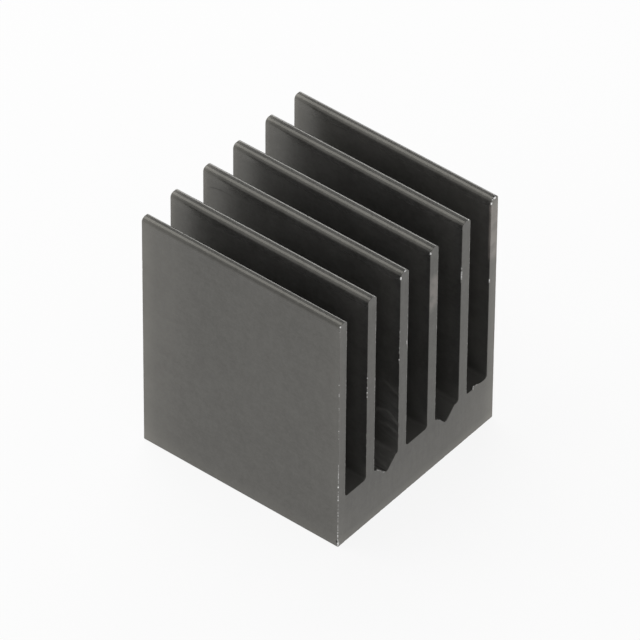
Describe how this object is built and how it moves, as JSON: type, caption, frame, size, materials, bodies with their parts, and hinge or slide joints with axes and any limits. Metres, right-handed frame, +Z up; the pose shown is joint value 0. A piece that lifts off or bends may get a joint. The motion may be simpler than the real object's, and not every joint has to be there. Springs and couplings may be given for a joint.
{
  "type": "heat sink",
  "caption": "Black anodised aluminium heat sink: an extruded block with tall parallel fins on a thick flat base, stuck or clipped onto an electronic part to cool it.",
  "frame": {"origin": "middle of the flat underside of the base", "axes": "+Z up from the base to the fin tips, +Y along the extruded fins, +X across the row of fins"},
  "size_m": [0.025, 0.0252, 0.0299],
  "materials": {
    "black_anodised_aluminium": "satin black anodised, with saw-cut ends and bare metal at chipped edges"
  },
  "bodies": {
    "root": {"heat_sink": "black_anodised_aluminium"}
  },
  "joints": []
}
